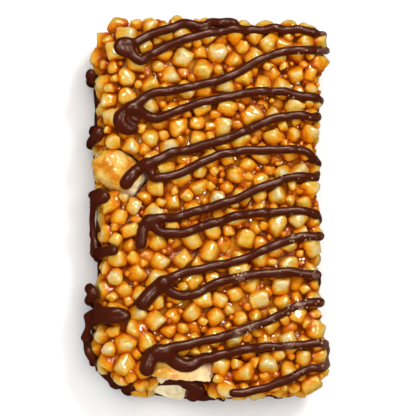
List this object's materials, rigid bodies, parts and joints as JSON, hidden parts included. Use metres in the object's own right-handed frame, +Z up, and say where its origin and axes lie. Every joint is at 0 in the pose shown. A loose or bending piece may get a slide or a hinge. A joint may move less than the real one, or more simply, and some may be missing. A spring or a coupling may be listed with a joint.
{
  "type": "energy bar",
  "caption": "Bar of puffed crisps set in syrup, with nut pieces among them, a thin chocolate base and a zigzag strand of chocolate over the top.",
  "frame": {"origin": "on the surface that the bar rests on, below the middle of its bounding box", "axes": "+X across the bar, +Y along the bar towards the end where the strand starts, +Z up out of the side with the strand"},
  "size_m": [0.0598, 0.0925, 0.0195],
  "materials": {
    "crisps": "puffed cereal under set syrup, glossy",
    "chocolate": "set dark chocolate, satin",
    "nut": "roasted nut, glazed skin and matt broken face"
  },
  "bodies": {
    "root": {"crisp_block": "crisps", "chocolate_base": "chocolate", "nut_side": "nut", "nut_end_upper": "nut", "nut_end_lower": "nut"}
  },
  "joints": []
}
